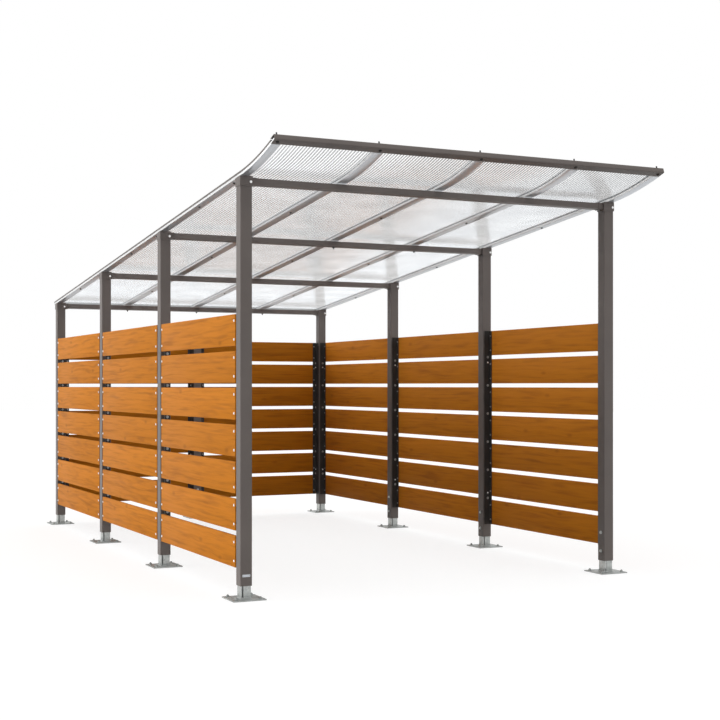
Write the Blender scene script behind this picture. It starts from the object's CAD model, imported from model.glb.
"""Open-fronted bin shelter: the looks of every surface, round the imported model's frame.

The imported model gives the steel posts, beams, collars, stiles and feet. This file adds the boards,
the roof's sheets, rails and strips, the front channel and every fastener as modelled meshes, and
gives each of them a finish. All sizes are in metres.
"""
import bmesh
import bpy
import math
import random
from bpy.props import FloatProperty, FloatVectorProperty, IntProperty, PointerProperty
from mathutils import Matrix, Vector


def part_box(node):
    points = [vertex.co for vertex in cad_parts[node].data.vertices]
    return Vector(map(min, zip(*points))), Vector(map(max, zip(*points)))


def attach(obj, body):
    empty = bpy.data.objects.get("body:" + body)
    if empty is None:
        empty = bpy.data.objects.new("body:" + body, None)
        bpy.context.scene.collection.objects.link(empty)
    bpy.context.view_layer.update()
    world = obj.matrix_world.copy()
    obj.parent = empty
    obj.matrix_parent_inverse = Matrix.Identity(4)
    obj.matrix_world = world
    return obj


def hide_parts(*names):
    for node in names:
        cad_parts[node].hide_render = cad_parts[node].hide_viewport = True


bl_info = {
    "name": "Bin Shelter",
    "version": (1, 0, 0),
    "blender": (4, 5, 0),
    "location": "3D View > Sidebar > Shelter",
    "description": "Builds the boards, roof, fasteners and finishes of an open-fronted bin shelter",
    "category": "Object",
}

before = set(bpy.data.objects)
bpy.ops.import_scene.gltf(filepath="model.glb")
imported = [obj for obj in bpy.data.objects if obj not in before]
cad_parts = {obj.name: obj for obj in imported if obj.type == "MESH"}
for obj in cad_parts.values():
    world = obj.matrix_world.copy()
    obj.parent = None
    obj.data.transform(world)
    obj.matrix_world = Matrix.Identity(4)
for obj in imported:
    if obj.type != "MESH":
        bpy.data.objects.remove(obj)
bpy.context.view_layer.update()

MM = 0.001
LEFT, RIGHT, REAR = -1, 1, 1
UP = Vector((0, 0, 1))
FRAME_COUNT = 4
SHEET_COUNT = 4
# Longest flat stretch of a rail or sheet on the bend
BEND_STEP = 25 * MM
# Nearer than this, two places are the same one
SAME = 0.001 * MM
# Edges with a wider angle than this are drawn sharp
SHARP = math.radians(30)

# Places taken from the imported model
POST_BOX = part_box("post_left_1")
POST = POST_BOX[1][0] - POST_BOX[0][0]
HALF_WIDTH = -POST_BOX[0][0]
FIRST_Y = POST_BOX[0][1]
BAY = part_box("post_left_2")[0][1] - FIRST_Y
BACK_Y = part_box("post_left_4")[1][1]
POST_CLEAR = POST_BOX[0][2]
HEAD_HEIGHT = POST_BOX[1][2]


# ---- Sizes and colours that a user would change ----

def length(name, description, default):
    """A length that the sidebar shows with its unit."""
    return FloatProperty(name=name, description=description, default=default, unit="LENGTH",
                         min=0.0)


def colour(name, description, default):
    """A colour that the sidebar shows as a swatch."""
    return FloatVectorProperty(name=name, description=description, default=srgb(default), size=3,
                               subtype="COLOR", min=0.0, max=1.0)


def srgb(code):
    """Turns a hex sRGB colour such as "#c47f36" into linear red, green and blue."""
    levels = [int(code[i:i + 2], 16) / 255 for i in (1, 3, 5)]
    return tuple(v / 12.92 if v <= 0.04045 else ((v + 0.055) / 1.055) ** 2.4 for v in levels)


class ShelterBoards(bpy.types.PropertyGroup):
    """Sizes of the boards and of what holds them"""
    count: IntProperty(name="Boards", description="Number of boards in a panel", default=7, min=1)
    height: length("Board height", "Height of a board", 0.206)
    gap: length("Board gap", "Gap between two boards", 0.033)
    inner: FloatProperty(name="Inner tone", description="Tone of the unbleached inner faces",
                         default=0.79, min=0.6, max=1.0)
    edge: length("Edge radius", "Radius of the planed edges of a board", 0.003)
    screw_in: length("Screw inset", "Distance from the end of a board to its screws", 0.018)
    screw_up: length("Screw height", "Distance from a board's long edge to its screws", 0.042)
    stile_leg: length("Stile leg", "Width of the stile leg that stands in from the boards", 0.050)
    stile_thick: length("Stile thickness", "Thickness of the stiles", 0.004)


class ShelterRoof(bpy.types.PropertyGroup):
    """Sizes of the roof"""
    pitch: FloatProperty(name="Pitch", description="Slope of the roof", default=math.radians(5.8),
                         subtype="ANGLE")
    bend_radius: length("Bend radius", "Radius of the raised front end, under the rails", 2.630)
    bend_angle: FloatProperty(name="Bend angle", description="Angle the front end turns through",
                              default=math.radians(12.2), subtype="ANGLE")
    bend_start: length("Bend start", "Start of the bend behind the first posts' front faces", 0.020)
    rear_overhang: length("Rear overhang", "Length of the roof behind the last posts", 0.050)
    rail_height: length("Rail height", "Height of the rails", 0.016)
    rail_width: length("Rail width", "Width of the rails between two sheets", 0.070)
    edge_rail_width: length("Edge rail width", "Width of the two outer rails", 0.060)
    rail_pitch: length("Rail pitch", "Distance between the middles of the inner rails", 0.735)
    rib: length("Parting rib", "Thickness of the rib that parts two sheets", 0.006)
    side_gap: length("Side gap", "Gap between a sheet and the rib beside it", 0.002)
    lip: length("Edge lip", "Thickness of the lip over the roof's outer edge", 0.005)
    pad: length("Pad", "Thickness of the pads between beams and rails", 0.006)
    beam_height: length("Beam height", "Height of a cross beam", 0.043)
    beam_depth: length("Beam depth", "Depth of a cross beam", 0.045)
    sheet: length("Sheet thickness", "Thickness of a roof sheet", 0.010)
    skin: length("Skin", "Thickness of a sheet's two skins", 0.0007)
    web: length("Web", "Thickness of the webs inside a sheet", 0.0006)
    web_pitch: length("Web pitch", "Distance between two webs of a sheet", 0.022)
    cover: length("Cover strip", "Thickness of the cover strips", 0.004)
    cover_width: length("Cover width", "Width of the cover strips", 0.060)
    tongue: length("Tongue", "Length of rails and sheets inside the channel", 0.052)


class ShelterChannel(bpy.types.PropertyGroup):
    """Sizes of the channel along the front of the roof"""
    depth: length("Depth", "Depth of the channel, front to back", 0.062)
    height: length("Height", "Height of the channel", 0.036)
    thick: length("Thickness", "Wall thickness of the channel", 0.004)
    lift: length("Lift", "Height of the channel above the underside of the rails", 0.002)
    gap: length("Gap", "Gap between the channel and the full height of the rails", 0.001)
    bend: length("Fold radius", "Outer radius of the channel's folds", 0.006)
    bolt_in: length("Bolt inset", "Distance from the channel's front face to its bolts", 0.031)


class ShelterColours(bpy.types.PropertyGroup):
    """Colours of the finishes"""
    umbra: colour("Umbra", "Powder coat of the posts, beams and channel", "#706864")
    black: colour("Black", "Powder coat of the stiles", "#32302e")
    timber: colour("Timber", "Stain of the boards, at its mean", "#ca7b1a")
    grain: colour("Grain", "Stain in the late wood", "#b0681c")
    knot: colour("Knot", "Knots", "#7c4413")
    zinc: colour("Zinc", "Galvanised steel of the feet", "#b3b6b4")
    bright: colour("Bright", "Stainless steel of the fasteners", "#e2e2e0")
    alloy: colour("Alloy", "Bare aluminium of the strips and the rails' sides", "#c3c4c4")
    rail: colour("Rail", "Anodised undersides of the rails", "#c8ccd1")
    tape: colour("Tape", "White foam tape under the strips", "#f0f0ee")
    sheet: colour("Sheet", "Clear plastic of the roof", "#ffffff")
    web: colour("Web", "Webs inside the roof's sheets", "#efefef")


# ---- Places ----

def roof_point(roof, x, run, rise):
    """Where a point of the flat roof lies once the roof is sloped and its front end is bent.

    run is measured down the roof from the start of the bend, so it is negative on the bend, and
    rise is measured square to the roof from the underside of the rails.
    """
    if run >= 0:
        y, z = run, rise
    else:
        turn = -run / roof.bend_radius
        y = -(roof.bend_radius - rise) * math.sin(turn)
        z = roof.bend_radius - (roof.bend_radius - rise) * math.cos(turn)
    return roof_matrix(roof) @ Vector((x, y, z))


def roof_matrix(roof):
    """Frame of the straight roof: +Y runs down the slope and Z = 0 is the rails' underside."""
    start = (0, FIRST_Y + roof.bend_start, HEAD_HEIGHT - roof.bend_start * math.tan(roof.pitch))
    return Matrix.Translation(start) @ Matrix.Rotation(-roof.pitch, 4, "X")


def channel_matrix(roof):
    """Frame of the front channel: Y = 0 is the end of the bend and -Y points out to the front."""
    end = (0, -roof.bend_radius * math.sin(roof.bend_angle),
           roof.bend_radius * (1 - math.cos(roof.bend_angle)))
    return roof_matrix(roof) @ Matrix.Translation(end) @ Matrix.Rotation(-roof.bend_angle, 4, "X")


def bend_length(roof):
    """Length of the raised front end, along the rails' underside."""
    return roof.bend_radius * roof.bend_angle


def straight_length(roof):
    """Length of the straight roof, down its slope from the bend to the rear end."""
    return (BACK_Y + roof.rear_overhang - FIRST_Y - roof.bend_start) / math.cos(roof.pitch)


def rail_places(roof):
    """Middle and width of each rail, from left to right."""
    edge = HALF_WIDTH - roof.edge_rail_width / 2
    inner = [(i - SHEET_COUNT / 2) * roof.rail_pitch for i in range(1, SHEET_COUNT)]
    return ([(-edge, roof.edge_rail_width)] + [(x, roof.rail_width) for x in inner]
            + [(edge, roof.edge_rail_width)])


def beam_run(roof, index):
    """Distance down the roof to the middle of a beam."""
    drop = roof.pad + roof.beam_height / 2
    level = index * BAY + POST / 2 - roof.bend_start
    return (level + drop * math.sin(roof.pitch)) / math.cos(roof.pitch)


def head_height(roof, y):
    """Height of the underside of the rails at y behind the first posts' front faces."""
    return HEAD_HEIGHT - y * math.tan(roof.pitch)


def facing(point, normal, spin=0.0):
    """Matrix that puts a fastener modelled along +Z on a point, pointing along the normal."""
    turn = Vector(normal).normalized().to_track_quat("Z", "Y").to_matrix().to_4x4()
    return Matrix.Translation(point) @ turn @ Matrix.Rotation(spin, 4, "Z")


# ---- Mesh tools ----

def add_block(bm, low, high):
    """Adds a block between two corners and returns its vertices."""
    low, high = Vector(low), Vector(high)
    size = high - low
    place = Matrix.Translation((low + high) / 2) @ Matrix.Diagonal((*size, 1))
    return bmesh.ops.create_cube(bm, size=1, matrix=place)["verts"]


def edges_of(verts):
    """Edges that meet at any of some vertices."""
    return list({edge for vert in verts for edge in vert.link_edges})


def faces_of(verts):
    """Faces that meet at any of some vertices."""
    return {face for vert in verts for face in vert.link_faces}


def edges_along(verts, axis):
    """Edges of some vertices that run along one axis."""
    found = []
    for edge in edges_of(verts):
        way = (edge.verts[1].co - edge.verts[0].co).normalized()
        if abs(way[axis]) > 0.999:
            found.append(edge)
    return found


def round_edges(bm, edges, radius, segments):
    """Rounds edges to a radius, or chamfers them with one segment."""
    bmesh.ops.bevel(bm, geom=edges, offset=radius, offset_type="OFFSET", segments=segments,
                    profile=0.5, affect="EDGES", material=-1, clamp_overlap=True)


def add_disc(bm, radius, low, high, segments):
    """Adds a closed cylinder along +Z and returns its vertices."""
    depth = high - low
    place = Matrix.Translation((0, 0, low + depth / 2))
    return bmesh.ops.create_cone(bm, cap_ends=True, cap_tris=False, segments=segments,
                                 radius1=radius, radius2=radius, depth=depth,
                                 matrix=place)["verts"]


def top_face(verts):
    """The face with the highest middle among those of some vertices."""
    return max(faces_of(verts), key=lambda face: face.calc_center_median().z)


def dome_head(bm, verts, dome, segments, rim, depth):
    """Sinks a drive socket into the flat top of a head, and rounds the top's edge into a dome."""
    lead_in, bevel = 0.3 * MM, 0.2 * MM
    face = top_face(verts)
    outer = list(face.edges)
    bmesh.ops.inset_region(bm, faces=[face], thickness=rim, use_even_offset=True)
    bmesh.ops.translate(bm, verts=face.verts, vec=(0, 0, -lead_in))
    bmesh.ops.inset_region(bm, faces=[face], thickness=bevel, use_even_offset=True)
    bmesh.ops.translate(bm, verts=face.verts, vec=(0, 0, -depth))
    round_edges(bm, [edge for edge in outer if edge.is_valid], dome, segments)


def add_hexagon(bm, radius, height, washer, thick, chamfer, segments):
    """Adds a washer and a hexagon on it, with the edge of its top chamfered."""
    add_disc(bm, washer, 0, thick, 16)
    verts = add_disc(bm, radius, thick, thick + height, 6)
    round_edges(bm, list(top_face(verts).edges), chamfer, segments)


def add_thread(bm, radius, low, high, pitch):
    """Adds a threaded rod end along +Z, as rings a thread pitch apart under a chamfer."""
    root, tip = 0.88 * radius, 0.8 * radius
    turns = max(1, round((high - low) / pitch))
    step = (high - low) / turns
    points = [(0, low)]
    for i in range(turns):
        points += [(root, low + i * step), (radius, low + (i + 0.5) * step)]
    points += [(tip, high), (0, high)]
    verts = [bm.verts.new((x, 0, z)) for x, z in points]
    edges = [bm.edges.new(pair) for pair in zip(verts, verts[1:])]
    before = set(bm.verts) - set(verts)
    bmesh.ops.spin(bm, geom=verts + edges, cent=(0, 0, 0), axis=UP, angle=math.tau, steps=12,
                   use_merge=True)
    made = [vert for vert in bm.verts if vert not in before]
    bmesh.ops.remove_doubles(bm, verts=made, dist=0.01 * MM)


def mesh_from(bm, name):
    """Turns a bmesh into a mesh of that name."""
    mesh = bpy.data.meshes.new(name)
    bm.to_mesh(mesh)
    bm.free()
    return mesh


def template_from(bm, name):
    """Turns the bmesh of one fastener into a mesh to copy, with its faces pointing outwards."""
    bmesh.ops.recalc_face_normals(bm, faces=bm.faces)
    return mesh_from(bm, name)


def copies_of(template, places):
    """A bmesh with a copy of the template mesh at each of the places."""
    bm = bmesh.new()
    for place in places:
        start = len(bm.verts)
        bm.from_mesh(template)
        bm.verts.ensure_lookup_table()
        bmesh.ops.transform(bm, matrix=place, verts=bm.verts[start:])
    bpy.data.meshes.remove(template)
    return bm


def finish_piece(bm, name, materials, replaces=None, recalculate=True):
    """Turns a bmesh into a piece of the shelter that rides on its one body."""
    if not bm.faces:
        raise RuntimeError(f"{name} has no faces")
    if recalculate:
        bmesh.ops.recalc_face_normals(bm, faces=bm.faces)
    for edge in bm.edges:
        edge.smooth = len(edge.link_faces) == 2 and edge.calc_face_angle(0.0) < SHARP
    for face in bm.faces:
        face.smooth = True
    piece = bpy.data.objects.new(name, mesh_from(bm, name))
    bpy.context.scene.collection.objects.link(piece)
    for material in materials:
        piece.data.materials.append(material)
    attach(piece, "root")
    if replaces:
        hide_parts(replaces)


# ---- Finishes ----

def new_material(name):
    """An empty node material and the node tree to build it in."""
    material = bpy.data.materials.new(name)
    material.use_nodes = True
    material.node_tree.nodes.clear()
    return material, material.node_tree


def add_node(tree, kind, inputs=None, stops=(), **attributes):
    """Adds a shader node with its attributes and colour stops, and sets or links its inputs.

    An input is given as a value, another node's output, or a node that stands for its first one.
    """
    node = tree.nodes.new("ShaderNode" + kind)
    for key, value in attributes.items():
        setattr(node, key, value)
    for index, (position, rgba) in enumerate(stops):
        elements = node.color_ramp.elements
        element = elements[index] if index < 2 else elements.new(position)
        element.position, element.color = position, rgba
    for key, value in (inputs or {}).items():
        if isinstance(value, bpy.types.Node):
            value = next(output for output in value.outputs if output.enabled)
        if isinstance(value, bpy.types.NodeSocket):
            tree.links.new(value, node.inputs[key])
        else:
            node.inputs[key].default_value = value
    return node


def shade(rgb, factor):
    """A colour made lighter or darker, with the alpha that a colour socket needs."""
    return (*[min(1.0, level * factor) for level in rgb], 1.0)


def weathered(tree, tone, value, span, levels):
    """Scales a colour from one level to another while a value goes over its span."""
    level = add_node(tree, "MapRange", {
        "Value": value, "From Min": span[0], "From Max": span[1],
        "To Min": levels[0], "To Max": levels[1]})
    return add_node(tree, "HueSaturation", {"Value": level, "Color": tone})


def powder_coat(tree, rgb, roughness, inside):
    """Polyester powder coat on steel: even, satin, with the fine orange peel of the baked coat."""
    place = add_node(tree, "TexCoord").outputs["Object"]
    # Orange peel lies about 1.5 mm apart, drawn at 4 mm so that it shows
    peel = add_node(tree, "TexNoise", {"Vector": place, "Scale": 1 / (4 * MM), "Detail": 2.0})
    # Film thickness drifts over some 0.3 m and shifts the tone a little
    drift = add_node(tree, "TexNoise", {"Vector": place, "Scale": 1 / 0.3, "Detail": 3.0})
    tone = add_node(tree, "ValToRGB", {"Fac": drift}, [
        (0.3, shade(rgb, 0.93)), (0.7, shade(rgb, 1.07))])
    # Weather chalks the coat to a lighter tone, but not on faces that look back at the middle
    # from more than 1.2 m away
    axes = add_node(tree, "SeparateXYZ", {"Vector": place})
    normal = add_node(tree, "NewGeometry").outputs["Normal"]
    ways = add_node(tree, "SeparateXYZ", {"Vector": normal})
    outward = add_node(tree, "Math", {
        0: axes.outputs["X"], 1: ways.outputs["X"]}, operation="MULTIPLY")
    tone = weathered(tree, tone, outward, (-1.2, -0.4), (inside, 1.0))
    rough = add_node(tree, "MapRange", {
        "Value": peel, "To Min": roughness - 0.05, "To Max": roughness + 0.07})
    bump = add_node(tree, "Bump", {"Height": peel, "Strength": 0.12, "Distance": 0.4 * MM})
    return add_node(tree, "BsdfPrincipled", {
        "Base Color": tone, "Roughness": rough, "IOR": 1.5,
        "Specular IOR Level": 0.3, "Normal": bump})


def streaks(tree, place, size, inputs):
    """Noise stretched into streaks of a size along each axis, in metres."""
    stretched = add_node(tree, "Mapping", {"Vector": place, "Scale": [1 / span for span in size]})
    return add_node(tree, "TexNoise", {"Vector": stretched, "Scale": 1.0, **inputs})


def stained_timber(tree, rgb, grain_rgb, knot_rgb):
    """Softwood with an amber stain: soft wavy streaks along the board, fine fibres, a few knots."""
    place = add_node(tree, "Attribute", attribute_name="grain").outputs["Vector"]
    # Each board has its own shade
    board = add_node(tree, "Attribute", attribute_name="tone")
    # The growth lines wander by some 15 mm over 0.6 m of board
    wander = streaks(tree, place, (0.625, 1 / 6, 1 / 6), {"Detail": 1.0})
    # Knots stand about 1 m apart along a board, and the lines flow round them
    cells = add_node(tree, "Mapping", {"Vector": place, "Scale": (1.1, 2.6, 1.0)})
    knots = add_node(tree, "TexVoronoi", {"Vector": cells, "Scale": 1.0}, voronoi_dimensions="2D")
    swell = add_node(tree, "MapRange", {
        "Value": knots, "From Min": 0.0, "From Max": 0.30, "To Min": 12 * MM, "To Max": 0.0},
        interpolation_type="SMOOTHERSTEP")
    axes = add_node(tree, "SeparateXYZ", {"Vector": place})
    across = add_node(tree, "Math", {
        0: wander, 1: 30 * MM, 2: axes.outputs["Y"]}, operation="MULTIPLY_ADD")
    across = add_node(tree, "Math", {0: across, 1: swell})
    flow = add_node(tree, "CombineXYZ", {
        "X": axes.outputs["X"], "Y": across, "Z": axes.outputs["Z"]})
    # Streaks of late wood are some 20 mm apart and half a metre long
    late = streaks(tree, flow, (0.5, 20 * MM, 0.125), {"Detail": 2.0, "Roughness": 0.55})
    # Fibres are streaks about 3 mm wide and 110 mm long
    fibre = streaks(tree, flow, (1 / 9, 3 * MM, 3 * MM), {"Detail": 2.0})
    dark = add_node(tree, "Math", {0: fibre, 1: 0.35, 2: late}, operation="MULTIPLY_ADD")
    wood = add_node(tree, "ValToRGB", {"Fac": dark}, [
        (0.45, shade(rgb, 1.08)), (0.70, shade(rgb, 1.0)), (1.0, shade(grain_rgb, 1.0))])
    # The stain sinks in deeper in smudges some 400 mm long and 40 mm wide
    sunk = streaks(tree, flow, (0.4, 40 * MM, 0.125), {"Detail": 1.0, "Roughness": 0.6})
    smudge = add_node(tree, "MapRange", {
        "Value": sunk, "From Min": 0.50, "From Max": 0.80, "To Min": 0.0, "To Max": 0.36},
        interpolation_type="SMOOTHSTEP")
    wood = add_node(tree, "Mix", {0: smudge, 6: wood, 7: shade(knot_rgb, 1.15)}, data_type="RGBA")
    core = add_node(tree, "MapRange", {
        "Value": knots, "From Min": 0.005, "From Max": 0.060, "To Min": 0.34, "To Max": 0.0},
        interpolation_type="SMOOTHSTEP")
    knotted = add_node(tree, "Mix", {0: core, 6: wood, 7: shade(knot_rgb, 1.0)}, data_type="RGBA")
    toned = add_node(tree, "HueSaturation", {"Value": board.outputs["Fac"], "Color": knotted})
    rough = add_node(tree, "MapRange", {"Value": dark, "To Min": 0.5, "To Max": 0.65})
    bump = add_node(tree, "Bump", {"Height": dark, "Strength": 0.2, "Distance": 0.5 * MM})
    return add_node(tree, "BsdfPrincipled", {
        "Base Color": toned, "Roughness": rough,
        "IOR": 1.45, "Specular IOR Level": 0.1, "Normal": bump})


def galvanised_steel(tree, rgb):
    """Hot-dip galvanised steel: grey zinc with a spangle of crystals some 11 mm across."""
    place = add_node(tree, "TexCoord").outputs["Object"]
    crystals = add_node(tree, "TexVoronoi", {"Vector": place, "Scale": 1 / (11 * MM)})
    grey = add_node(tree, "SeparateColor", {"Color": crystals.outputs["Color"]})
    # Zinc runs off the lifted steel in patches some 40 mm across
    runs = add_node(tree, "TexNoise", {"Vector": place, "Scale": 1 / (40 * MM), "Detail": 4.0})
    mixed = add_node(tree, "Math", {
        0: grey.outputs["Red"], 1: 0.5, 2: runs}, operation="MULTIPLY_ADD")
    tone = add_node(tree, "ValToRGB", {"Fac": mixed}, [
        (0.35, shade(rgb, 0.80)), (1.0, shade(rgb, 1.08))])
    # The flat plates weather to a duller grey than the stems that stand on them
    axes = add_node(tree, "SeparateXYZ", {"Vector": place})
    tone = weathered(tree, tone, axes.outputs["Z"], (12 * MM, 40 * MM), (0.9, 1.12))
    rough = add_node(tree, "MapRange", {
        "Value": grey.outputs["Green"], "To Min": 0.38, "To Max": 0.6})
    bump = add_node(tree, "Bump", {"Height": runs, "Strength": 0.2, "Distance": 0.8 * MM})
    return add_node(tree, "BsdfPrincipled", {
        "Base Color": tone, "Metallic": 0.75, "Roughness": rough, "Normal": bump})


def bare_metal(tree, marks, tone, metallic, roughness):
    """Surface of a bare metal whose roughness goes from one value to another with its marks."""
    rough = add_node(tree, "MapRange", {
        "Value": marks, "To Min": roughness[0], "To Max": roughness[1]})
    return add_node(tree, "BsdfPrincipled", {
        "Base Color": tone, "Metallic": metallic, "Roughness": rough})


def turned_steel(tree, rgb, roughness):
    """Plain steel of bolts and nuts: bright, with faint scratches of the machining."""
    place = add_node(tree, "TexCoord").outputs["Object"]
    # Scratches are far finer than the 2 mm at which they are drawn so that they show
    marks = add_node(tree, "TexNoise", {"Vector": place, "Scale": 1 / (2 * MM), "Detail": 3.0})
    tone = add_node(tree, "ValToRGB", {"Fac": marks}, [
        (0.3, shade(rgb, 0.88)), (0.7, shade(rgb, 1.05))])
    return bare_metal(tree, marks, tone, 1.0, (roughness - 0.08, roughness + 0.1))


def drawn_aluminium(tree, rgb, roughness, metallic):
    """Extruded aluminium with a satin anodised skin: die lines run along the length."""
    place = add_node(tree, "TexCoord").outputs["Object"]
    # Die lines lie about 2 mm apart across the width and run on for more than a metre
    lines = streaks(tree, place, (2 * MM, 1.25, 1.25), {"Detail": 2.0})
    tone = add_node(tree, "ValToRGB", {"Fac": lines}, [
        (0.3, shade(rgb, 0.96)), (0.7, shade(rgb, 1.03))])
    # Rain washes the raised front end clean, and the rest keeps a grey film
    axes = add_node(tree, "SeparateXYZ", {"Vector": place})
    tone = weathered(tree, tone, axes.outputs["Y"], (FIRST_Y - 0.15, FIRST_Y + 0.05), (1.28, 1.0))
    return bare_metal(tree, lines, tone, metallic, (roughness - 0.02, roughness + 0.03))


def clear_skin(tree, rgb, haze, glossy):
    """Extruded polycarbonate skin: water-clear with a trace of haze, mirror-like at a low angle."""
    clear = add_node(tree, "BsdfTransparent", {"Color": shade(rgb, 1.0)})
    milk = add_node(tree, "BsdfTranslucent", {"Color": shade(rgb, 1.0)})
    body = add_node(tree, "MixShader", {0: haze, 1: clear, 2: milk})
    if glossy:
        place = add_node(tree, "TexCoord").outputs["Object"]
        # Extrusion leaves waves some 150 mm long in the outer faces
        waves = add_node(tree, "TexNoise", {
            "Vector": place, "Scale": 1 / (150 * MM), "Detail": 0.0})
        bump = add_node(tree, "Bump", {"Height": waves, "Strength": 0.05, "Distance": 1 * MM})
        gloss = add_node(tree, "BsdfAnisotropic", {
            "Color": (0.88, 0.94, 1, 1), "Roughness": 0.2, "Normal": bump})
        # Light bounces off the outside of a skin only, and a film on the plastic dulls it
        edge = add_node(tree, "Fresnel", {"IOR": 1.58})
        side = add_node(tree, "NewGeometry")
        outside = add_node(tree, "MapRange", {
            "Value": side.outputs["Backfacing"], "To Min": 0.85, "To Max": 0.0})
        share = add_node(tree, "Math", {0: edge, 1: outside}, operation="MULTIPLY")
        body = add_node(tree, "MixShader", {0: share, 1: body, 2: gloss})
    return body


def milky_web(tree, rgb):
    """Webs inside a sheet, seen at a low angle: the plastic looks smoky and glows a little."""
    place = add_node(tree, "TexCoord").outputs["Object"]
    # The plastic's tone drifts over some 0.25 m
    drift = add_node(tree, "TexNoise", {"Vector": place, "Scale": 1 / 0.25, "Detail": 1.0})
    tone = add_node(tree, "ValToRGB", {"Fac": drift}, [
        (0.3, shade(rgb, 0.96)), (0.7, shade(rgb, 1.04))])
    # Grime settles in the raised front end, so that its webs stand out
    axes = add_node(tree, "SeparateXYZ", {"Vector": place})
    tone = weathered(tree, tone, axes.outputs["Y"], (FIRST_Y - 0.6, FIRST_Y + 0.4), (0.80, 1.05))
    # Rain runs off to the rear right and keeps that corner clearest
    slant = add_node(tree, "Math", {
        0: axes.outputs["X"], 1: 0.9, 2: axes.outputs["Y"]}, operation="MULTIPLY_ADD")
    tone = weathered(tree, tone, slant, (FIRST_Y + 0.3, FIRST_Y + 4.6), (0.975, 1.1))
    clear = add_node(tree, "BsdfTransparent", {"Color": tone})
    plain = add_node(tree, "BsdfDiffuse", {"Color": tone})
    glow = add_node(tree, "BsdfTranslucent", {"Color": tone})
    milk = add_node(tree, "MixShader", {0: 0.5, 1: plain, 2: glow})
    return add_node(tree, "MixShader", {0: 0.07, 1: clear, 2: milk})


def foam_tape(tree, rgb):
    """Closed-cell foam tape: white, matt and finely pitted."""
    place = add_node(tree, "TexCoord").outputs["Object"]
    # The pits are some 1.5 mm apart
    cells = add_node(tree, "TexNoise", {"Vector": place, "Scale": 1 / (1.5 * MM), "Detail": 2.0})
    tone = add_node(tree, "ValToRGB", {"Fac": cells}, [
        (0.3, shade(rgb, 0.94)), (0.6, shade(rgb, 1.0))])
    return add_node(tree, "BsdfPrincipled", {"Base Color": tone, "Roughness": 0.8})


FINISHES = {}


def finish(name):
    """The finish of that name, made when it is first asked for."""
    if name not in FINISHES:
        colours = bpy.context.scene.shelter_colours
        polished, plated = shade(colours.bright, 1.3)[:3], shade(colours.bright, 0.45)[:3]
        pale_alloy = shade(colours.alloy, 1.5)[:3]
        # Name of each material, its maker, and the colours and levels that the maker takes
        makers = {
            "umbra_coat": ("umbra_powder_coat", powder_coat, colours.umbra, 0.42, 0.6),
            "black_coat": ("black_powder_coat", powder_coat, colours.black, 0.5, 1.0),
            "timber": ("stained_softwood", stained_timber, colours.timber, colours.grain,
                       colours.knot),
            "zinc": ("galvanised_steel", galvanised_steel, colours.zinc),
            "bright": ("stainless_steel", turned_steel, polished, 0.38),
            "dull": ("zinc_plated_steel", turned_steel, plated, 0.45),
            "rail": ("anodised_aluminium", drawn_aluminium, pale_alloy, 0.3, 0.4),
            "underside": ("grey_anodised_aluminium", drawn_aluminium, colours.rail, 0.28, 0.45),
            "strip": ("mill_aluminium", drawn_aluminium, colours.alloy, 0.3, 1.0),
            "skin": ("polycarbonate_skin", clear_skin, colours.sheet, 0.02, True),
            "core": ("polycarbonate_core", clear_skin, colours.sheet, 0.01, False),
            "web": ("polycarbonate_web", milky_web, colours.web),
            "tape": ("foam_tape", foam_tape, colours.tape),
        }
        label, maker, *settings = makers[name]
        material, tree = new_material(label)
        add_node(tree, "OutputMaterial", {"Surface": maker(tree, *settings)})
        FINISHES[name] = material
    return FINISHES[name]


# ---- Pieces ----

# Node of each wall, the axis it runs along, and the side of its weather face
WALLS = (
    [(f"wall_left_{i}", 1, LEFT) for i in range(1, FRAME_COUNT)]
    + [(f"wall_right_{i}", 1, RIGHT) for i in range(1, FRAME_COUNT)]
    + [("wall_back_left", 0, REAR), ("wall_back_right", 0, REAR)]
)


def wall_frame(node, axis, outside):
    """Length, thickness and matrix of a wall: +X along it, +Y up, +Z out of its weather face.

    outside is the side on which the weather face lies, along the axis square to the wall.
    """
    low, high = (Vector(corner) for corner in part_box(node))
    other = 1 - axis
    along, out = Vector(), Vector()
    along[axis], out[other] = 1, outside
    if along.cross(UP).dot(out) < 0:
        along = -along
    corner = low.copy()
    corner[axis] = low[axis] if along[axis] > 0 else high[axis]
    corner[other] = low[other] if outside > 0 else high[other]
    matrix = Matrix.Translation(corner) @ Matrix((along, UP, out)).transposed().to_4x4()
    return high[axis] - low[axis], high[other] - low[other], matrix


def make_boards(boards):
    """Planed boards for each wall, each with its own run of grain and its own shade."""
    draw = random.Random(11)
    # The boards are cut from far apart in one long run of timber
    timber_run, lightest, darkest = 40, 1.06, 0.93
    for node, axis, outside in WALLS:
        span, thick, matrix = wall_frame(node, axis, outside)
        bm = bmesh.new()
        grain = bm.verts.layers.float_vector.new("grain")
        tone = bm.verts.layers.float.new("tone")
        for i in range(boards.count):
            low = i * (boards.height + boards.gap)
            verts = add_block(bm, (0, low, 0), (span, low + boards.height, thick))
            start = len(bm.verts) - len(verts)
            round_edges(bm, edges_of(verts), boards.edge, 2)
            bm.verts.ensure_lookup_table()
            shift = Vector([draw.uniform(0, timber_run) for _ in range(3)])
            shade_of_board = draw.uniform(darkest, lightest)
            for vert in bm.verts[start:]:
                vert[grain] = vert.co + shift
                vert[tone] = shade_of_board * (1.0 if vert.co.z > thick / 2 else boards.inner)
        bmesh.ops.transform(bm, matrix=matrix, verts=bm.verts)
        finish_piece(bm, node.replace("wall", "boards"), [finish("timber")], node)


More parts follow.
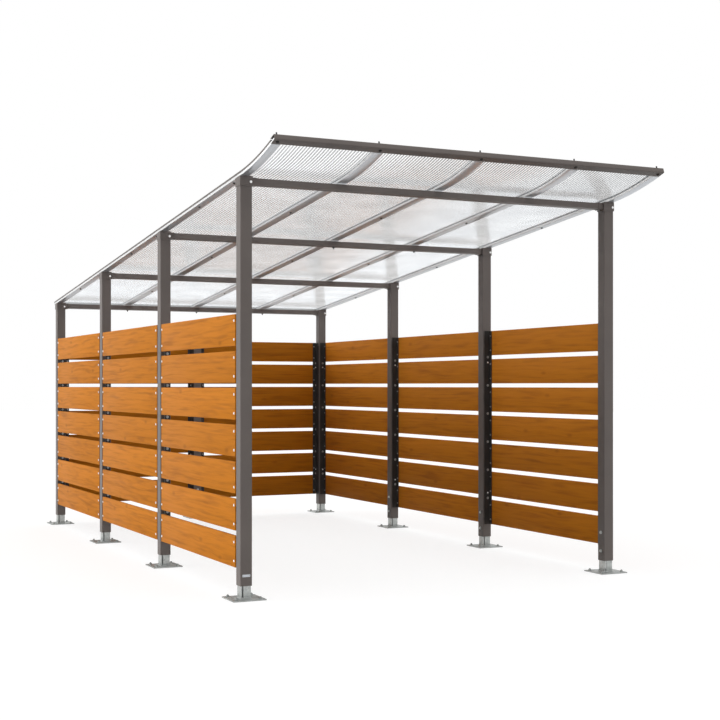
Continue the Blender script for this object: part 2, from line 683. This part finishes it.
def screw_head_mesh(radius):
    """Domed head with a drive socket, on a thin washer."""
    bm = bmesh.new()
    washer, top = 1.2 * MM, 5 * MM
    add_disc(bm, radius, 0, washer, 16)
    verts = add_disc(bm, radius * 0.86, washer, top, 12)
    dome_head(bm, verts, dome=2.6 * MM, segments=3, rim=radius * 0.5, depth=1.5 * MM)
    return template_from(bm, "screw_head")


def nut_mesh(radius, height, washer, tip):
    """Chamfered hexagon nut on a washer, with the end of its bolt."""
    bm = bmesh.new()
    thick, thread, sunk = 1.5 * MM, 1.5 * MM, 0.5 * MM
    add_hexagon(bm, radius, height, washer, thick, chamfer=radius * 0.1, segments=1)
    top = thick + height
    add_thread(bm, radius * 0.55, top - sunk, top + tip, thread)
    return template_from(bm, "nut")


def head_mesh(radius, height, washer):
    """Chamfered hexagon head on a washer."""
    bm = bmesh.new()
    add_hexagon(bm, radius, height, washer, thick=2 * MM, chamfer=radius * 0.12, segments=2)
    return template_from(bm, "head")


def cup_head_mesh(radius, height):
    """Low domed head with a socket, as on a furniture bolt."""
    bm = bmesh.new()
    verts = add_disc(bm, radius, 0, height, 20)
    dome_head(bm, verts, dome=height * 0.7, segments=4, rim=radius * 0.6, depth=2 * MM)
    return template_from(bm, "cup_head")


def add_fasteners(template, places, name, chosen):
    """One piece with a copy of the template at each of the places, in the chosen finish."""
    finish_piece(copies_of(template, places), name, [finish(chosen)])


def board_fixings(boards):
    """Places of the screws on the weather side and of their nuts behind the stiles."""
    heads, nuts = [], []
    draw = random.Random(5)
    for node, axis, outside in WALLS:
        span, thick, matrix = wall_frame(node, axis, outside)
        out = matrix.to_3x3() @ UP
        for i in range(boards.count):
            low = i * (boards.height + boards.gap)
            for up in (low + boards.screw_up, low + boards.height - boards.screw_up):
                for along in (boards.screw_in, span - boards.screw_in):
                    spin = draw.uniform(0, math.tau)
                    behind = -boards.stile_thick
                    heads.append(facing(matrix @ Vector((along, up, thick)), out, spin))
                    nuts.append(facing(matrix @ Vector((along, up, behind)), -out, spin))
    return heads, nuts


def make_board_fixings(boards):
    """Screws through the ends of the boards, and the nuts behind them."""
    heads, nuts = board_fixings(boards)
    add_fasteners(screw_head_mesh(radius=9 * MM), heads, "board_screws", "bright")
    nut = nut_mesh(radius=6 * MM, height=5 * MM, washer=7.5 * MM, tip=3 * MM)
    add_fasteners(nut, nuts, "board_nuts", "dull")


def make_stile_bolts(boards):
    """Bolts that hold the stiles to the posts: one at each gap, and two bright ones by the ends."""
    dull, bright = [], []
    draw = random.Random(7)
    inward, beside = -boards.stile_leg / 2, 45 * MM
    for node, axis, outside in WALLS:
        span, _, matrix = wall_frame(node, axis, outside)
        turn = matrix.to_3x3()
        gaps = [i * (boards.height + boards.gap) - boards.gap / 2 for i in range(1, boards.count)]
        for along, way in ((boards.stile_thick, 1), (span - boards.stile_thick, -1)):
            normal = turn @ Vector((way, 0, 0))
            for places, heights in ((dull, gaps), (bright, (gaps[0] + beside, gaps[-1] - beside))):
                for up in heights:
                    point = matrix @ Vector((along, up, inward))
                    places.append(facing(point, normal, draw.uniform(0, math.tau)))
    head = head_mesh(radius=8.5 * MM, height=5.5 * MM, washer=11 * MM)
    add_fasteners(head, dull, "stile_bolts", "dull")
    cup = cup_head_mesh(radius=7 * MM, height=5 * MM)
    add_fasteners(cup, bright, "stile_locking_bolts", "bright")


def make_collar_bolts(roof):
    """A bright bolt on the front of each collar, and a dull one under each end of a beam."""
    fronts, unders = [], []
    right_of_post, below_rails = 30 * MM, 37 * MM
    from_post, socket_wall = 20 * MM, 2.5 * MM
    face = FIRST_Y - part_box("post_head_brackets")[0][1]
    slope = roof_matrix(roof)
    down = slope.to_3x3() @ -UP
    for index in range(FRAME_COUNT):
        y = index * BAY
        z = head_height(roof, y) - below_rails
        for side in (LEFT, RIGHT):
            x = side * (HALF_WIDTH - POST / 2) + right_of_post
            fronts.append(facing((x, FIRST_Y + y - face, z), (0, -1, 0)))
        for side in (RIGHT, LEFT):
            x = side * (HALF_WIDTH - POST - from_post)
            low = slope @ Vector((x, beam_run(roof, index), -roof.pad - roof.beam_height))
            unders.append(facing(low + down * socket_wall, down))
    cup = cup_head_mesh(radius=9 * MM, height=6 * MM)
    add_fasteners(cup, fronts, "collar_bolts", "bright")
    cup = cup_head_mesh(radius=7 * MM, height=5 * MM)
    add_fasteners(cup, unders, "beam_end_bolts", "dull")


def make_foot_details():
    """Anchor nuts at the corners of each base plate, and the weld round each stem."""
    anchors, welds = [], bmesh.new()
    draw = random.Random(3)
    offset, plate = 82 * MM, 8 * MM
    stem, leg, clear = 34 * MM, 6 * MM, 0.2 * MM
    feet = [(side, index) for side in (LEFT, RIGHT) for index in range(FRAME_COUNT)]
    for side, index in feet + [(0, FRAME_COUNT - 1)]:
        x = side * (HALF_WIDTH - POST / 2)
        y = FIRST_Y + index * BAY + POST / 2
        for dx in (-offset, offset):
            for dy in (-offset, offset):
                spin = draw.uniform(0, math.tau)
                anchors.append(facing((x + dx, y + dy, plate), UP, spin))
        # The weld's section stands at a corner of the stem and is spun round the foot's middle
        section = [(stem + clear, plate), (stem + leg, plate), (stem + clear, plate + leg)]
        verts = [welds.verts.new((x + out, y + out, z)) for out, z in section]
        edges = [welds.edges.new((verts[i], verts[(i + 1) % 3])) for i in range(3)]
        bmesh.ops.spin(welds, geom=verts + edges, cent=(x, y, 0), axis=UP, angle=math.tau,
                       steps=4, use_merge=True)
    bmesh.ops.remove_doubles(welds, verts=welds.verts, dist=0.01 * MM)
    nut = nut_mesh(radius=10.4 * MM, height=9 * MM, washer=13 * MM, tip=5 * MM)
    add_fasteners(nut, anchors, "anchor_nuts", "zinc")
    finish_piece(welds, "foot_welds", [finish("zinc")])


def bend_cuts(bm, front):
    """Cuts a flat strip across at every step of the bend, so that it can follow the curve."""
    steps = math.ceil(-front / BEND_STEP)
    for i in range(steps):
        run = front * i / steps
        geom = list(bm.verts) + list(bm.edges) + list(bm.faces)
        bmesh.ops.bisect_plane(bm, geom=geom, dist=SAME, plane_co=(0, run, 0), plane_no=(0, 1, 0))


def wrap_on_roof(bm, roof):
    """Moves a flat piece of the roof to its place on the bend and the slope."""
    for vert in bm.verts:
        vert.co = roof_point(roof, *vert.co)


def make_roof_sheets(roof):
    """Four twin-wall sheets: two thin skins with webs between them."""
    rails = rail_places(roof)
    front = -(bend_length(roof) + roof.tongue)
    rear = straight_length(roof)
    low, high = roof.rail_height, roof.rail_height + roof.sheet
    finishes = [finish("skin"), finish("web"), finish("core")]
    for i in range(SHEET_COUNT):
        x0 = rails[i][0] + roof.rib / 2 if i else -HALF_WIDTH + roof.lip
        x1 = rails[i + 1][0] - roof.rib / 2 if i < SHEET_COUNT - 1 else HALF_WIDTH - roof.lip
        x0, x1 = x0 + roof.side_gap, x1 - roof.side_gap
        bm = bmesh.new()
        add_block(bm, (x0, front, low), (x1, rear, low + roof.skin))
        add_block(bm, (x0, front, high - roof.skin), (x1, rear, high))
        cells = round((x1 - x0) / roof.web_pitch)
        pitch = (x1 - x0 - roof.web) / cells
        # The webs end inside the skins
        bottom, top = low + roof.skin / 2, high - roof.skin / 2
        skins = list(bm.faces)
        for k in range(cells + 1):
            x = x0 + k * pitch
            verts = add_block(bm, (x, front, bottom), (x + roof.web, rear, top))
            for face in faces_of(verts):
                face.material_index = 1
        for face in skins:
            if all(bottom < vert.co.z < top for vert in face.verts):
                face.material_index = 2
        bend_cuts(bm, front)
        wrap_on_roof(bm, roof)
        finish_piece(bm, f"twin_wall_sheet_{i + 1}", finishes,
                     f"roof_sheet_{i + 1}", recalculate=False)


def paint_underside(bm, index):
    """Gives the faces that point down, with half of each rounded edge, the finish of that index."""
    bm.normal_update()
    for face in bm.faces:
        if face.normal.z < -0.7:
            face.material_index = index


def make_roof_rails(roof):
    """Extruded rails under the sheets: bright sides and a satin underside."""
    bend = -bend_length(roof)
    front = bend - roof.tongue
    rear = straight_length(roof)
    height, edge, inset = roof.rail_height, 1.2 * MM, 1 * MM
    tongue_low, tongue_high = 6 * MM, height - MM / 2
    for i, (x, width) in enumerate(rail_places(roof)):
        bm = bmesh.new()
        left, right = x - width / 2, x + width / 2
        body = add_block(bm, (left, bend, 0), (right, rear, height))
        round_edges(bm, edges_along(body, 1), edge, 3)
        paint_underside(bm, 1)
        add_block(bm, (left + inset, front, tongue_low), (right - inset, 0, tongue_high))
        inner = 0 < i < SHEET_COUNT
        if inner:
            add_block(bm, (x - roof.rib / 2, front, height / 2),
                      (x + roof.rib / 2, rear, height + roof.sheet))
        bend_cuts(bm, front)
        if inner:
            for index in range(FRAME_COUNT):
                middle = beam_run(roof, index)
                add_block(bm, (left, middle - roof.beam_depth / 2, -roof.pad),
                          (right, middle + roof.beam_depth / 2, inset))
        wrap_on_roof(bm, roof)
        finish_piece(bm, f"sheet_rail_{i + 1}", [finish("rail"), finish("underside")],
                     f"roof_rail_{i + 1}")


def make_cover_strips(roof):
    """Pressed strips over the joints of the sheets, with sealing screws along them."""
    low = roof.rail_height + roof.sheet
    high = low + roof.cover
    front, rear = -bend_length(roof), straight_length(roof)
    edge, lip_down, screw_count, end = 1.2 * MM, MM / 2, 16, 0.1
    half = roof.cover_width / 2
    bm = bmesh.new()
    screws = []
    normal = roof_matrix(roof).to_3x3() @ UP
    for i, (x, _) in enumerate(rail_places(roof)):
        body = add_block(bm, (x - half, front, low), (x + half, rear, high))
        round_edges(bm, edges_along(body, 1), edge, 2)
        paint_underside(bm, 2)
        if i in (0, SHEET_COUNT):
            side = LEFT if i == 0 else RIGHT
            x0, x1 = sorted((side * HALF_WIDTH, side * (HALF_WIDTH - roof.lip)))
            lip = add_block(bm, (x0, front, roof.rail_height), (x1, rear, high - lip_down))
            for face in faces_of(lip):
                face.material_index = 1
        for k in range(screw_count):
            run = end + k * (rear - 2 * end) / (screw_count - 1)
            screws.append(facing(roof_point(roof, x, run, high), normal, spin=0.7 * k))
    bend_cuts(bm, front)
    wrap_on_roof(bm, roof)
    materials = [finish("strip"), finish("umbra_coat"), finish("tape")]
    finish_piece(bm, "cover_strips", materials, "roof_cover_strips")
    add_fasteners(screw_head_mesh(radius=7 * MM), screws, "cover_screws", "dull")


def make_rail_bolts(roof):
    """Dark bolts through the rails' undersides, and the nuts under the beams that carry joints."""
    bolts, nuts = [], []
    down = roof_matrix(roof).to_3x3() @ -UP
    for x, _ in rail_places(roof):
        for index in range(FRAME_COUNT - 1):
            # One close behind each beam and one halfway to the next
            for share_of_bay in (0.09, 0.5):
                run = beam_run(roof, index) + share_of_bay * BAY
                point = roof_point(roof, x, run, 0)
                bolts.append(facing(point, down, spin=5 * share_of_bay))
    for beam in ("cross_beam_2", "cross_beam_4"):
        low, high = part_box(beam)
        for x, _ in rail_places(roof)[1:-1]:
            nuts.append(facing((x, (low[1] + high[1]) / 2, low[2]), -UP, spin=x))
    head = head_mesh(radius=6.5 * MM, height=4.5 * MM, washer=9 * MM)
    add_fasteners(head, bolts, "rail_bolts", "black_coat")
    nut = nut_mesh(radius=8 * MM, height=6.5 * MM, washer=10 * MM, tip=6 * MM)
    add_fasteners(nut, nuts, "beam_nuts", "black_coat")


def make_channel(roof, channel):
    """Folded steel channel over the raised front end, open to the rear, with its bolts."""
    bm = bmesh.new()
    low, high = channel.lift, channel.lift + channel.height
    front, rear = -channel.depth, -channel.gap
    t = channel.thick
    outline = [(rear, low), (front, low), (front, high), (rear, high), (rear, high - t),
               (front + t, high - t), (front + t, low + t), (rear, low + t)]
    verts = [bm.verts.new((-HALF_WIDTH, y, z)) for y, z in outline]
    face = bm.faces.new(verts)
    made = bmesh.ops.extrude_face_region(bm, geom=[face])["geom"]
    moved = [item for item in made if isinstance(item, bmesh.types.BMVert)]
    bmesh.ops.translate(bm, verts=moved, vec=(2 * HALF_WIDTH, 0, 0))
    bmesh.ops.recalc_face_normals(bm, faces=bm.faces)

    def folds(y, heights):
        """The two long edges at a fold's depth and heights"""
        return [edge for edge in edges_along(bm.verts, 0)
                if abs(edge.verts[0].co.y - y) < SAME
                and min(abs(edge.verts[0].co.z - z) for z in heights) < SAME]

    round_edges(bm, folds(front, (low, high)), channel.bend, 5)
    round_edges(bm, folds(front + t, (low + t, high - t)), channel.bend - t, 3)
    place = channel_matrix(roof)
    bmesh.ops.transform(bm, matrix=place, verts=bm.verts)
    finish_piece(bm, "front_channel", [finish("umbra_coat")], "front_fascia")
    tops, bottoms = [], []
    up = place.to_3x3() @ UP
    y = channel.bolt_in - channel.depth
    for x, _ in rail_places(roof):
        tops.append(facing(place @ Vector((x, y, high)), up, spin=0.2))
        bottoms.append(facing(place @ Vector((x, y, low)), -up, spin=0.4))
    nut = nut_mesh(radius=9 * MM, height=7 * MM, washer=11 * MM, tip=18 * MM)
    add_fasteners(nut, tops, "channel_nuts", "black_coat")
    head = head_mesh(radius=9 * MM, height=6 * MM, washer=11 * MM)
    add_fasteners(head, bottoms, "channel_bolts", "black_coat")


def make_nameplate():
    """Small blank plate with two rivets, low on the front face of the first left post."""
    bm = bmesh.new()
    width, height, thick, clear = 54 * MM, 16 * MM, 1.5 * MM, 0.1 * MM
    corner, rivet_out = 2.5 * MM, 23 * MM
    x, z = POST / 2 - HALF_WIDTH, POST_CLEAR + 66 * MM
    body = add_block(bm, (x - width / 2, FIRST_Y - thick, z - height / 2),
                     (x + width / 2, FIRST_Y - clear, z + height / 2))
    round_edges(bm, edges_along(body, 1), corner, 4)
    finish_piece(bm, "blank_plate", [finish("underside")])
    rivets = [facing((x + side * rivet_out, FIRST_Y - thick, z), (0, -1, 0))
              for side in (LEFT, RIGHT)]
    rivet = cup_head_mesh(radius=2.2 * MM, height=1 * MM)
    add_fasteners(rivet, rivets, "plate_rivets", "dull")


def finish_packed_nodes():
    """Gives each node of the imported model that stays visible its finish."""
    finishes = {
        "post_": "umbra_coat", "cross_beam": "umbra_coat", "foot_": "zinc",
        "wall_stiles": "black_coat", "roof_rear": "strip",
    }
    for name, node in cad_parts.items():
        for start, chosen in finishes.items():
            if name.startswith(start):
                node.data.materials.clear()
                node.data.materials.append(finish(chosen))


# ---- Stage ----

def make_camera():
    """Level camera at chest height, to the left of the open front."""
    scene = bpy.context.scene
    data = bpy.data.cameras.new("camera")
    data.lens = 66.1
    data.sensor_width = 36.0
    data.shift_y = 0.0351
    data.clip_end = 200
    camera = bpy.data.objects.new("camera", data)
    camera.location = (-4.4293, -10.3154, 1.3751)
    camera.rotation_euler = (math.radians(90), 0, math.radians(-25.663))
    scene.collection.objects.link(camera)
    scene.camera = camera
    scene.view_settings.view_transform = "Standard"
    # A low line of sight crosses several skins and webs of a roof sheet
    scene.cycles.transparent_max_bounces = 32


def background_rays(tree):
    """1 for rays that show the background, straight or in metal and plastic, and 0 for light."""
    path = add_node(tree, "LightPath")
    seen = path.outputs["Is Camera Ray"]
    for ray in ("Is Glossy Ray", "Is Transmission Ray"):
        seen = add_node(tree, "Math", {0: seen, 1: path.outputs[ray]}, operation="MAXIMUM")
    return seen


def make_floor():
    """Pale studio floor that fades to white and keeps a soft shadow."""
    radius, below_feet = 60, 0.5 * MM
    material, tree = new_material("studio_floor")
    plain = add_node(tree, "BsdfDiffuse", {"Color": (0.3, 0.3, 0.3, 1)})
    light = add_node(tree, "Emission", {"Color": (1, 1, 1, 1), "Strength": 0.76})
    pale = add_node(tree, "AddShader", {0: plain, 1: light})
    both = add_node(tree, "MixShader", {0: background_rays(tree), 1: plain, 2: pale})
    add_node(tree, "OutputMaterial", {"Surface": both})
    bm = bmesh.new()
    bmesh.ops.create_circle(bm, cap_ends=True, segments=64, radius=radius,
                            matrix=Matrix.Translation((0, 0, -below_feet)))
    floor = bpy.data.objects.new("studio_floor", mesh_from(bm, "studio_floor"))
    floor.data.materials.append(material)
    bpy.context.scene.collection.objects.link(floor)


def make_light():
    """A white room that is brighter on the left, so that the left faces catch the light."""
    world = bpy.data.worlds.new("studio")
    world.use_nodes = True
    bpy.context.scene.world = world
    tree = world.node_tree
    tree.nodes.clear()
    way = add_node(tree, "TexCoord").outputs["Generated"]
    # The bright patch spans some 30 degrees on every side of this direction
    toward = Vector((-0.90, 0.42, 0.06)).normalized()
    match = add_node(tree, "VectorMath", {0: way, 1: toward}, operation="DOT_PRODUCT")
    level = add_node(tree, "MapRange", {
        "Value": match, "From Min": 0.87, "From Max": 1.0, "To Min": 0.92,
        "To Max": 7.0}, interpolation_type="SMOOTHSTEP")
    lamp = add_node(tree, "Background", {"Color": (1, 1, 1, 1), "Strength": level})
    white = add_node(tree, "Background", {"Color": (1, 1, 1, 1), "Strength": 1.0})
    both = add_node(tree, "MixShader", {0: background_rays(tree), 1: lamp, 2: white})
    add_node(tree, "OutputWorld", {"Surface": both})


# ---- Operators, panel and registration ----

class SHELTER_OT_boards(bpy.types.Operator):
    """Make the boards of every wall"""
    bl_idname = "shelter.boards"
    bl_label = "Boards"

    def execute(self, context):
        make_boards(context.scene.shelter_boards)
        return {"FINISHED"}


class SHELTER_OT_board_fixings(bpy.types.Operator):
    """Make the screws and nuts of the boards"""
    bl_idname = "shelter.board_fixings"
    bl_label = "Board fixings"

    def execute(self, context):
        make_board_fixings(context.scene.shelter_boards)
        return {"FINISHED"}


class SHELTER_OT_stile_bolts(bpy.types.Operator):
    """Make the bolts between stiles and posts"""
    bl_idname = "shelter.stile_bolts"
    bl_label = "Stile bolts"

    def execute(self, context):
        make_stile_bolts(context.scene.shelter_boards)
        return {"FINISHED"}


class SHELTER_OT_collar_bolts(bpy.types.Operator):
    """Make the bolts of the collars and beam ends"""
    bl_idname = "shelter.collar_bolts"
    bl_label = "Collar bolts"

    def execute(self, context):
        make_collar_bolts(context.scene.shelter_roof)
        return {"FINISHED"}


class SHELTER_OT_foot_details(bpy.types.Operator):
    """Make the anchor nuts and welds of the feet"""
    bl_idname = "shelter.foot_details"
    bl_label = "Foot details"

    def execute(self, context):
        make_foot_details()
        return {"FINISHED"}


class SHELTER_OT_roof_sheets(bpy.types.Operator):
    """Make the twin-wall sheets of the roof"""
    bl_idname = "shelter.roof_sheets"
    bl_label = "Roof sheets"

    def execute(self, context):
        make_roof_sheets(context.scene.shelter_roof)
        return {"FINISHED"}


class SHELTER_OT_roof_rails(bpy.types.Operator):
    """Make the rails under the sheets and their bolts"""
    bl_idname = "shelter.roof_rails"
    bl_label = "Roof rails"

    def execute(self, context):
        make_roof_rails(context.scene.shelter_roof)
        make_rail_bolts(context.scene.shelter_roof)
        return {"FINISHED"}


class SHELTER_OT_cover_strips(bpy.types.Operator):
    """Make the strips over the joints of the sheets"""
    bl_idname = "shelter.cover_strips"
    bl_label = "Cover strips"

    def execute(self, context):
        make_cover_strips(context.scene.shelter_roof)
        return {"FINISHED"}


class SHELTER_OT_channel(bpy.types.Operator):
    """Make the channel along the front of the roof"""
    bl_idname = "shelter.channel"
    bl_label = "Front channel"

    def execute(self, context):
        make_channel(context.scene.shelter_roof, context.scene.shelter_channel)
        return {"FINISHED"}


class SHELTER_OT_nameplate(bpy.types.Operator):
    """Make the small blank plate"""
    bl_idname = "shelter.nameplate"
    bl_label = "Blank plate"

    def execute(self, context):
        make_nameplate()
        return {"FINISHED"}


class SHELTER_OT_steelwork(bpy.types.Operator):
    """Finish the posts, beams, stiles and feet"""
    bl_idname = "shelter.steelwork"
    bl_label = "Steelwork finishes"

    def execute(self, context):
        finish_packed_nodes()
        return {"FINISHED"}


class SHELTER_OT_stage(bpy.types.Operator):
    """Make the camera, the floor and the light"""
    bl_idname = "shelter.stage"
    bl_label = "Stage"

    def execute(self, context):
        make_camera()
        make_floor()
        make_light()
        return {"FINISHED"}


OPERATORS = (
    SHELTER_OT_stage, SHELTER_OT_steelwork, SHELTER_OT_boards, SHELTER_OT_board_fixings,
    SHELTER_OT_stile_bolts, SHELTER_OT_collar_bolts, SHELTER_OT_foot_details,
    SHELTER_OT_roof_sheets, SHELTER_OT_roof_rails, SHELTER_OT_cover_strips, SHELTER_OT_channel,
    SHELTER_OT_nameplate,
)
GROUPS = {
    "shelter_boards": ShelterBoards, "shelter_roof": ShelterRoof, "shelter_channel": ShelterChannel,
    "shelter_colours": ShelterColours,
}


class SHELTER_PT_panel(bpy.types.Panel):
    """Sizes, colours and pieces of the shelter"""
    bl_idname = "SHELTER_PT_panel"
    bl_label = "Bin Shelter"
    bl_space_type = "VIEW_3D"
    bl_region_type = "UI"
    bl_category = "Shelter"

    def draw(self, context):
        for name in GROUPS:
            group = getattr(context.scene, name)
            box = self.layout.box()
            for key in group.__annotations__:
                box.prop(group, key)
        for operator in OPERATORS:
            self.layout.operator(operator.bl_idname)


def register():
    for name, group in GROUPS.items():
        bpy.utils.register_class(group)
        setattr(bpy.types.Scene, name, PointerProperty(type=group))
    for operator in OPERATORS:
        bpy.utils.register_class(operator)
    bpy.utils.register_class(SHELTER_PT_panel)


def unregister():
    bpy.utils.unregister_class(SHELTER_PT_panel)
    for operator in reversed(OPERATORS):
        bpy.utils.unregister_class(operator)
    for name, group in GROUPS.items():
        delattr(bpy.types.Scene, name)
        bpy.utils.unregister_class(group)


def main():
    register()
    for operator in OPERATORS:
        group, name = operator.bl_idname.split(".")
        getattr(getattr(bpy.ops, group), name)()


if __name__ == "__main__":
    main()
